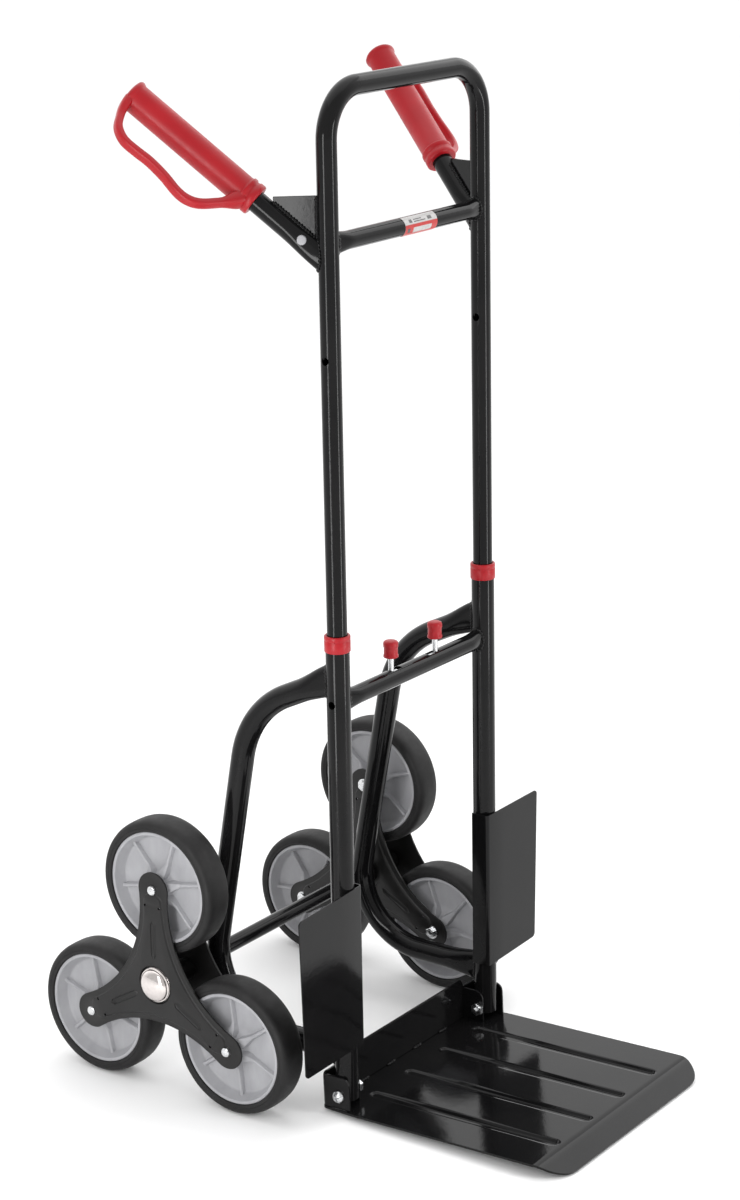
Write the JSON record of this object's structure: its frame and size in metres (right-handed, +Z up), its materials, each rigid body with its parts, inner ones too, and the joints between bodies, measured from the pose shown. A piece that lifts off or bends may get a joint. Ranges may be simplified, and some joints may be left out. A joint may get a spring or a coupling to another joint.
{
  "type": "stair-climbing hand truck",
  "caption": "Folding hand truck with a telescoping steel handle, rear pistol-style grips with guards, a fold-up toe plate and a turning three-wheel cluster on each side for climbing stairs.",
  "frame": {"origin": "on the floor, under the middle of the object's bounding box", "axes": "+Z up; the toe plate points to -Y; the wheel clusters and grips are at +Y; +X is the side of the pieces named right"},
  "size_m": [0.5036, 0.638, 1.0935],
  "materials": {
    "black_paint": "gloss",
    "satin_paint": "satin",
    "red_plastic": "satin",
    "grey_plastic": "satin",
    "tyre_rubber": "matte",
    "zinc_steel": "satin",
    "chrome_steel": "polished",
    "label_red": "gloss"
  },
  "bodies": {
    "frame": {"post_left": "black_paint", "post_right": "black_paint", "collar_left": "red_plastic", "collar_right": "red_plastic", "lock_bar": "black_paint", "axle": "black_paint", "rear_loop_left": "black_paint", "rear_loop_right": "black_paint", "wing_plate_left": "black_paint", "wing_plate_right": "black_paint", "hinge_bolt_left": "zinc_steel", "hinge_bolt_right": "zinc_steel", "hinge_nut_left": "zinc_steel", "hinge_nut_right": "zinc_steel", "axle_cap_left": "chrome_steel", "axle_cap_right": "chrome_steel"},
    "handle": {"handle_tube": "black_paint", "handle_crossbar": "black_paint", "label": "label_red", "handle_stub_left": "black_paint", "handle_stub_right": "black_paint", "gusset_left": "black_paint", "gusset_right": "black_paint", "grip_left": "red_plastic", "grip_right": "red_plastic"},
    "toe": {"toe_plate": "black_paint", "toe_channel": "black_paint", "toe_ear_left": "black_paint", "toe_ear_right": "black_paint"},
    "lock_left": {"lock_rod_left": "zinc_steel", "lock_knob_left": "red_plastic"},
    "spider_left": {"spider_outer_left": "satin_paint", "spider_inner_left": "satin_paint", "spider_hub_left": "satin_paint", "wheel_bolt_left_top": "zinc_steel", "wheel_bolt_left_front": "zinc_steel", "wheel_bolt_left_rear": "zinc_steel"},
    "wheel_left_top": {"rim_left_top": "grey_plastic", "tyre_left_top": "tyre_rubber"},
    "wheel_left_front": {"rim_left_front": "grey_plastic", "tyre_left_front": "tyre_rubber"},
    "wheel_left_rear": {"rim_left_rear": "grey_plastic", "tyre_left_rear": "tyre_rubber"},
    "lock_right": {"lock_rod_right": "zinc_steel", "lock_knob_right": "red_plastic"},
    "spider_right": {"spider_outer_right": "satin_paint", "spider_inner_right": "satin_paint", "spider_hub_right": "satin_paint", "wheel_bolt_right_top": "zinc_steel", "wheel_bolt_right_front": "zinc_steel", "wheel_bolt_right_rear": "zinc_steel"},
    "wheel_right_top": {"rim_right_top": "grey_plastic", "tyre_right_top": "tyre_rubber"},
    "wheel_right_front": {"rim_right_front": "grey_plastic", "tyre_right_front": "tyre_rubber"},
    "wheel_right_rear": {"rim_right_rear": "grey_plastic", "tyre_right_rear": "tyre_rubber"}
  },
  "joints": [
    {"name": "handle_slide", "type": "slide", "parent": "frame", "child": "handle", "axis": [0, 0, -1], "range_m": [0, 0.358]},
    {"name": "toe_fold", "type": "hinge", "parent": "frame", "child": "toe", "pos_m": [0, -0.04061, 0.0209], "axis": [-1, 0, 0], "range_deg": [0, 87.5]},
    {"name": "lock_left_pull", "type": "slide", "parent": "frame", "child": "lock_left", "axis": [1, 0, 0], "range_m": [0, 0.012], "stiffness_N_per_m": 500, "springref_m": -0.008},
    {"name": "spider_left_turn", "type": "hinge", "parent": "frame", "child": "spider_left", "pos_m": [-0.19, 0.14987, 0.12935], "axis": [1, 0, 0], "continuous": true},
    {"name": "wheel_left_top_spin", "type": "hinge", "parent": "spider_left", "child": "wheel_left_top", "pos_m": [-0.194, 0.14987, 0.23805], "axis": [1, 0, 0], "continuous": true},
    {"name": "wheel_left_front_spin", "type": "hinge", "parent": "spider_left", "child": "wheel_left_front", "pos_m": [-0.194, 0.05573, 0.075], "axis": [1, 0, 0], "continuous": true},
    {"name": "wheel_left_rear_spin", "type": "hinge", "parent": "spider_left", "child": "wheel_left_rear", "pos_m": [-0.194, 0.24401, 0.075], "axis": [1, 0, 0], "continuous": true},
    {"name": "lock_right_pull", "type": "slide", "parent": "frame", "child": "lock_right", "axis": [-1, 0, 0], "range_m": [0, 0.012], "stiffness_N_per_m": 500, "springref_m": -0.008},
    {"name": "spider_right_turn", "type": "hinge", "parent": "frame", "child": "spider_right", "pos_m": [0.19, 0.14987, 0.12935], "axis": [1, 0, 0], "continuous": true},
    {"name": "wheel_right_top_spin", "type": "hinge", "parent": "spider_right", "child": "wheel_right_top", "pos_m": [0.194, 0.14987, 0.23805], "axis": [1, 0, 0], "continuous": true},
    {"name": "wheel_right_front_spin", "type": "hinge", "parent": "spider_right", "child": "wheel_right_front", "pos_m": [0.194, 0.05573, 0.075], "axis": [1, 0, 0], "continuous": true},
    {"name": "wheel_right_rear_spin", "type": "hinge", "parent": "spider_right", "child": "wheel_right_rear", "pos_m": [0.194, 0.24401, 0.075], "axis": [1, 0, 0], "continuous": true}
  ]
}
